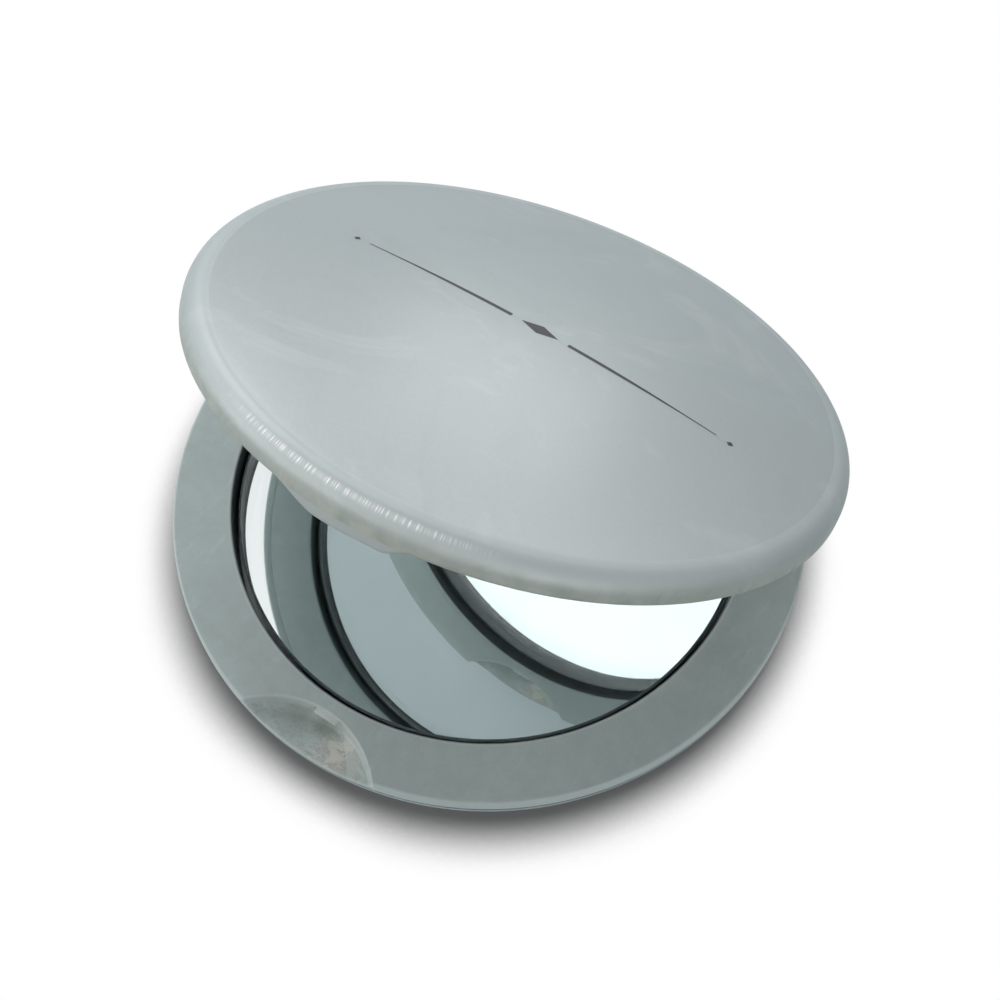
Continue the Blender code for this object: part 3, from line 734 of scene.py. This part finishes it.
def make_lid():
    """The crowned cover, with a fine rim, the front tab and the rear window."""
    profile = [(CROWN_EDGE * step / 30, crown(CROWN_EDGE * step / 30)) for step in range(30)]
    rim_start = 90 - math.degrees(CROWN_ANGLE)
    profile += arc((LID - RIM_ROUND, LID_SIDE), (RIM_ROUND, RIM_ROUND), rim_start, 0, 22)
    profile += dense([(LID, LID_SIDE), (LID, PARTING_ROUND)], 0.12)[1:]
    parting = (LID - PARTING_ROUND, PARTING_ROUND)
    profile += arc(parting, (PARTING_ROUND, PARTING_ROUND), 0, -90, 6)[1:]
    seam = (LID_INNER + SEAM_ROUND, SEAM_ROUND)
    profile += arc(seam, (SEAM_ROUND, SEAM_ROUND), 270, 180, 2)
    profile += dense([(LID_INNER, SEAM_ROUND), (LID_INNER, LID_SIDE)], 0.15)[1:]
    reach = (RIM_ROUND, crown(CORNER) - CROWN_SKIN - LID_SIDE)
    profile += arc((CORNER, LID_SIDE), reach, 0, 90, 8)[1:]
    under = (26.0, 21.0, 16.0, 10.0, 5.0, 0.0)
    profile += [(radius, crown(radius) - CROWN_SKIN) for radius in under]
    window = math.degrees(math.asin(SLOT_HALF / LID))
    edges = [side * (180 - window + nudge) for side in (-1, 1) for nudge in (-0.02, 0.02)]
    angles = fine_angles(15.0, 0.4, 1.25, edges)
    return lathe("lid_cover", profile, angles, move=lid_edge, place=LID_PLACE)


def notch_depth(x, y):
    """Depth of the thumb notch below the ring's face: a bowl with a steep back wall."""
    inside = NOTCH_R + 0.03 - math.hypot(x, y - NOTCH_CENTRE_Y)
    if y > NOTCH_ZONE_Y or inside < 0:
        return 0.0
    side = FLANGE - 0.5 * smooth(0.15, 0.95, min(abs(x) / NOTCH_HALF, 1.0))
    reach = min(max((inside - 0.8) / 4.1, 0.0), 1.0)
    front = FLANGE - 0.5 * (1.0 - (1.0 - reach) ** 2)
    fillet = 1.4 - 0.9 * smooth(-2.0, 4.0, x)
    wall = min(inside / fillet, 1.0)
    return min(side, front) * math.sqrt(1.0 - (1.0 - wall) ** 2)


def ring_top(x, y, z):
    """Presses the thumb notch into the ring's upper face and side."""
    if z <= FLANGE_FOOT or y > NOTCH_ZONE_Y:
        return z
    return FLANGE_FOOT + (z - FLANGE_FOOT) * (1.0 - notch_depth(x, y) / FLANGE)


def make_ring():
    """The base's flanged ring with its scooped notch."""
    edge = CASE - RING_EDGE
    profile = dense([(RING_IN + LIP, RING_TOP), (edge, RING_TOP)], 0.07)[:-1]
    profile += arc((edge, RING_TOP - RING_EDGE), (RING_EDGE, RING_EDGE), 90, 0, 6)
    profile += dense([(CASE, RING_TOP - RING_EDGE), (CASE, FLANGE_FOOT)], 0.2)[1:]
    profile += [(SPIGOT_OUT, FLANGE_FOOT), (SPIGOT_OUT, SPIGOT_FOOT)]
    profile += [(SPIGOT_IN, SPIGOT_FOOT), (SPIGOT_IN, FLANGE_FOOT)]
    profile += [(SKIRT_OUT, FLANGE_FOOT), (SKIRT_OUT, SKIRT_FOOT), (RING_IN, SKIRT_FOOT)]
    profile += arc((RING_IN + LIP, RING_TOP - LIP), (LIP, LIP), 180, 90, 8)[:-1]
    angles = fine_angles(15.5, 0.12, 1.25)
    ring = lathe("base_ring", profile, angles, closed=True, move=ring_top)
    carve(ring, "DIFFERENCE", EARS_HOLE)
    return ring


def copied(node, name, region, place=None):
    """A copy of part of a CAD node, as a piece of its own."""
    piece = add(name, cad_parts[node].data.copy())
    carve(piece, "INTERSECT", region, place)
    return piece


def make_nub():
    """The catch nub on the notch's back wall, with rounded edges."""
    shape = cube(NUB_SIZE, NUB_PLACE)
    edges = shape.edges[:]
    bmesh.ops.bevel(
        shape, geom=edges, offset=NUB_ROUND * MM, segments=4, profile=0.5, affect="EDGES"
    )
    bmesh.ops.recalc_face_normals(shape, faces=shape.faces)
    mesh = bpy.data.meshes.new("catch_nub")
    shape.to_mesh(mesh)
    shape.free()
    return add("catch_nub", mesh, NUB_CREASE)


def make_cup():
    """The base's cup with its elliptical side and flat foot."""
    inner_reach = CASE - CUP_WALL - FOOT
    profile = [(0.0, CUP_FLOOR)]
    profile += arc((FOOT, CUP_RIM), (inner_reach, CUP_RIM - CUP_FLOOR), -90, 0, 10)
    profile += arc((FOOT, CUP_RIM), (CASE - FOOT, CUP_RIM), 0, -90, 26)
    profile += [(radius, 0.0) for radius in (24.0, 18.0, 10.0, 0.0)]
    cup = lathe("base_cup", profile, even_angles())
    carve(cup, "DIFFERENCE", CUP_HOLE)
    return cup


def make_glass(name, radius, face, back, place=None):
    """A mirror's glass, bevelled round its face, the silvering in its back and its edge paint."""
    up = 1.0 if face > back else -1.0
    angles = even_angles()
    bevel = radius - BEVEL
    profile = [(0.0, face), (radius * 0.5, face), (bevel, face), (radius, face - up * BEVEL_DROP)]
    profile += [(radius, back), (0.0, back)]
    glass = lathe(name + "_glass", profile, angles, place=place, crease=GLASS_CREASE)
    near = back + up * SILVER_NEAR
    far = back + up * SILVER_FAR
    edge = radius - SILVER_INSET
    layer = [(0.0, near), (edge, near), (edge, far), (0.0, far)]
    silver_disc = lathe(name + "_silver", layer, angles, place=place, crease=GLASS_CREASE)
    outer = radius - PAINT_OUT
    inner = radius - PAINT_IN
    band = [
        (bevel - PAINT_IN, face - up * PAINT_UNDER),
        (outer, face - up * (BEVEL_DROP + PAINT_UNDER)),
        (outer, far),
        (inner, far),
        (inner, face - up * (BEVEL_DROP + 0.04)),
        (bevel - PAINT_IN, face - up * PAINT_IN),
    ]
    paint = lathe(name + "_edge_paint", band, angles, closed=True, place=place)
    return glass, silver_disc, paint


def make_lid_ring():
    """The lid's inset ring, seen in the lower mirror and from the front."""
    outer = LID_INNER - SEAM
    skirt = LID_IN + 1.0
    skirt_top = crown(skirt) - 1.0
    spigot_top = crown(CORNER) - 1.0
    profile = [(outer, 1.2), (outer, SEAM_ROUND)]
    profile += arc((outer - SEAM_ROUND, SEAM_ROUND), (SEAM_ROUND, SEAM_ROUND), 0, -90, 2)[1:]
    profile += arc((LID_IN + LIP, LIP), (LIP, LIP), 270, 180, 8)
    profile += [(LID_IN, skirt_top), (skirt, skirt_top), (skirt, 1.2)]
    profile += [(CORNER - 1.0, 1.2), (CORNER - 1.0, spigot_top)]
    profile += [(CORNER, spigot_top), (CORNER, 1.2)]
    ring = lathe("lid_ring", profile, even_angles(), closed=True, place=LID_PLACE)
    carve(ring, "DIFFERENCE", KNUCKLE_HOLE, LID_PLACE)
    carve(ring, "DIFFERENCE", HOOK_HOLE, LID_PLACE)
    return ring


def on_crown(x, y):
    """A point of the print, just above the lid's crown, in the world."""
    return LID_PLACE @ Vector((x * MM, y * MM, (crown(math.hypot(x, y)) + PRINT_LIFT) * MM))


def rule_half(x):
    return RULE_THIN + RULE_SWELL * smooth(RULE_ENDS[1], RULE_SHOULDER, abs(x))


def dot_half(x):
    return max(0.0, DOT_HALF - abs(abs(x) - DOT_AT)) + POINT


def lozenge_half(x):
    return LOZENGE[1] * max(0.0, 1 - abs(x) / LOZENGE[0]) + POINT


def make_print():
    """A plain ornament across the lid: a tapered rule, broken by a lozenge and dots."""
    shape = bmesh.new()

    def strip(low, high, half_width):
        """A band along X whose half width is a rule of x."""
        rows = []
        for index in range(STRIP_STEPS + 1):
            x = low + (high - low) * index / STRIP_STEPS
            half = half_width(x)
            sides = (PRINT_Y - half, PRINT_Y + half)
            rows.append([shape.verts.new(on_crown(x, y)) for y in sides])
        for first, second in zip(rows, rows[1:]):
            shape.faces.new((first[0], second[0], second[1], first[1]))

    for side in (-1, 1):
        strip(*sorted(side * end for end in RULE_ENDS), rule_half)
        strip(side * DOT_AT - DOT_HALF, side * DOT_AT + DOT_HALF, dot_half)
    strip(-LOZENGE[0], LOZENGE[0], lozenge_half)
    bmesh.ops.recalc_face_normals(shape, faces=shape.faces)
    mesh = bpy.data.meshes.new("lid_print")
    shape.to_mesh(mesh)
    shape.free()
    return add("lid_print", mesh)


def make_object():
    """Every piece that is seen, with its material and body."""
    satin = satin_plastic("satin_ring", BASE_RING, base_ring_marks_and_light, gloss=0.2)
    under = satin_plastic("satin_lid_ring", LID_RING, lid_ring_shade, metal=0.08, gloss=0.4)
    # Painted light: the nub gets a lighter copy of the ring's plastic, for its lit front.
    worn_and_lit = satin_plastic("satin_nub", LIT_NUB)
    dress(make_lid(), "lid", "pearl_plastic", pearl_lacquer(on_lid=True), "lid_shell")
    dress(make_print(), "lid", "pearl_plastic", print_ink())
    dress(make_cup(), "base", "pearl_plastic", pearl_lacquer(), "base_shell")
    dress(make_ring(), "base", "satin_plastic", satin, "base_frame")
    dress(make_nub(), "base", "satin_plastic", worn_and_lit)
    dress(copied("base_frame", "hinge_ears", EARS), "base", "satin_plastic", satin)
    dress(make_lid_ring(), "lid", "satin_plastic", under, "lid_frame")
    for name, region in (("hinge_knuckle", KNUCKLE), ("catch_hook", HOOK)):
        dress(copied("lid_frame", name, region, LID_PLACE), "lid", "satin_plastic", under)
    pad = foam()
    layers = (clear_glass(), silver(), edge_paint())
    base_back = BASE_GLASS_TOP - BASE_GLASS
    base_glass = make_glass("base_mirror", RING_IN - GLASS_GAP, BASE_GLASS_TOP, base_back)
    for piece, surface in zip(base_glass, layers):
        dress(piece, "base", "silvered_glass", surface, "base_mirror")
    lid_back = LID_GLASS_FACE + LID_GLASS
    lid_glass = make_glass("lid_mirror", LID_GLASS_RADIUS, LID_GLASS_FACE, lid_back, LID_PLACE)
    for piece, surface in zip(lid_glass, layers):
        dress(piece, "lid", "silvered_glass", surface, "lid_mirror")
    for name in ("base_mirror_pad", "lid_mirror_pad"):
        coat(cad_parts[name], pad)
    coat(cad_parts["hinge_pin"], drawn_steel())


def make_floor():
    """A white table, which the camera sees only as the object's soft shadow on a white ground."""
    bpy.ops.mesh.primitive_plane_add(size=4.0, location=(0, 0, 0))
    floor = bpy.context.object
    floor.name = "floor"
    made = Surface("floor_white")
    path = made.node("ShaderNodeLightPath").outputs
    seen = path["Is Camera Ray"]
    near = made.node("ShaderNodeAmbientOcclusion", samples=24)
    near.inputs["Distance"].default_value = CONTACT_REACH
    lean = made.node("ShaderNodeCombineXYZ")
    for axis, value in zip("XYZ", CONTACT_LEAN):
        lean.inputs[axis].default_value = value
    made.link(lean.outputs["Vector"], near.inputs["Normal"])
    open_sky = made.span(near.outputs["AO"], CONTACT_LOW, CONTACT_HIGH, 0.0, 1.0)
    open_sky = made.calc("POWER", open_sky, CONTACT_CURVE)
    mirrored = made.calc("MAXIMUM", path["Is Glossy Ray"], path["Is Transmission Ray"])
    lift = made.plus(made.times(seen, FLOOR_LIFT), made.times(mirrored, MIRRORED_LIFT))
    made.set(Base_Color=made.mix(seen, TABLE_TONE, CONTACT_TONE), Specular_IOR_Level=0.0)
    made.set(Emission_Color=made.mix(seen, TABLE_GLOW, CONTACT_TONE), Emission_Strength=lift)
    made.set(Roughness=made.span(made.noise(60.0), 0.3, 0.7, 0.85, 0.95))
    below = made.node("ShaderNodeNewGeometry").outputs["Backfacing"]
    clear = made.node("ShaderNodeBsdfTransparent")
    mixed = made.node("ShaderNodeMixShader")
    made.link(made.calc("MAXIMUM", below, made.times(seen, open_sky)), mixed.inputs["Fac"])
    made.link(made.bsdf.outputs["BSDF"], mixed.inputs[1])
    made.link(clear.outputs["BSDF"], mixed.inputs[2])
    made.link(mixed.outputs["Shader"], made.tree.nodes["Material Output"].inputs["Surface"])
    floor.data.materials.append(made.material)


def make_world():
    """Even white surroundings, which a reflection sees as brighter overhead and at a window."""
    world = bpy.data.worlds.new("studio")
    world.use_nodes = True
    made = Graph(world.node_tree)
    path = made.node("ShaderNodeLightPath").outputs
    way = made.node("ShaderNodeTexCoord").outputs["Generated"]
    split = made.node("ShaderNodeSeparateXYZ")
    made.link(way, split.inputs["Vector"])
    sky = made.span(
        split.outputs["Z"], SKY_LOW, SKY_HIGH, SKY_HORIZON, SKY_ZENITH,
        interpolation_type="SMOOTHSTEP",
    )
    toward = made.node("ShaderNodeVectorMath", operation="DOT_PRODUCT")
    toward.inputs[1].default_value = WINDOW_WAY
    made.link(way, toward.inputs[0])
    window = made.span(
        toward.outputs["Value"], *WINDOW_REACH, 0.0, WINDOW_GAIN,
        interpolation_type="SMOOTHSTEP",
    )
    mirrored = made.calc("MAXIMUM", path["Is Glossy Ray"], path["Is Transmission Ray"])
    level = made.span(mirrored, 0.0, 1.0, WORLD_LEVEL, made.plus(sky, window))
    level = made.span(path["Is Camera Ray"], 0.0, 1.0, level, 1.0)
    back = made.tree.nodes["Background"]
    made.link(level, back.inputs["Strength"])
    back.inputs["Color"].default_value = (1.0, 1.0, 1.0, 1.0)
    bpy.context.scene.world = world


def make_lights():
    """A main lamp behind and to the left, and weaker ones that fill in round the object."""
    for name, place, size, power in LAMPS:
        data = bpy.data.lights.new(name, "AREA")
        data.shape = "RECTANGLE"
        data.size, data.size_y = size
        data.energy = power
        lamp = bpy.data.objects.new(name, data)
        bpy.context.scene.collection.objects.link(lamp)
        lamp.location = place
        way = Vector(LAMP_AIM) - Vector(place)
        lamp.rotation_euler = way.to_track_quat("-Z", "Y").to_euler()


def make_camera():
    """The camera that was fitted to the photograph's outlines."""
    level = math.cos(CAMERA_HEIGHT)
    east = math.sin(CAMERA_BEARING)
    north = math.cos(CAMERA_BEARING)
    back = Vector((east * level, -north * level, math.sin(CAMERA_HEIGHT)))
    right = Vector((north, east, 0.0))
    up = back.cross(right)
    tilted_right = right * math.cos(CAMERA_ROLL) + up * math.sin(CAMERA_ROLL)
    tilted_up = up * math.cos(CAMERA_ROLL) - right * math.sin(CAMERA_ROLL)
    data = bpy.data.cameras.new("camera")
    data.sensor_width = SENSOR
    data.lens = CAMERA_FOCUS * SENSOR / IMAGE_WIDTH
    data.shift_x = -CAMERA_NUDGE[0] / IMAGE_WIDTH
    data.shift_y = CAMERA_NUDGE[1] / IMAGE_WIDTH
    data.clip_start = 0.01
    camera = bpy.data.objects.new("camera", data)
    bpy.context.scene.collection.objects.link(camera)
    turn = Matrix((tilted_right, tilted_up, back)).transposed().to_4x4()
    place = (Vector(CAMERA_AIM) + back * CAMERA_DISTANCE) * MM
    camera.matrix_world = Matrix.Translation(place) @ turn
    bpy.context.scene.camera = camera


make_object()
make_floor()
make_world()
make_lights()
make_camera()
bpy.context.scene.view_settings.view_transform = "Standard"
bpy.context.scene.cycles.max_bounces = 20
bpy.context.scene.cycles.glossy_bounces = 10
bpy.context.scene.cycles.transmission_bounces = 20
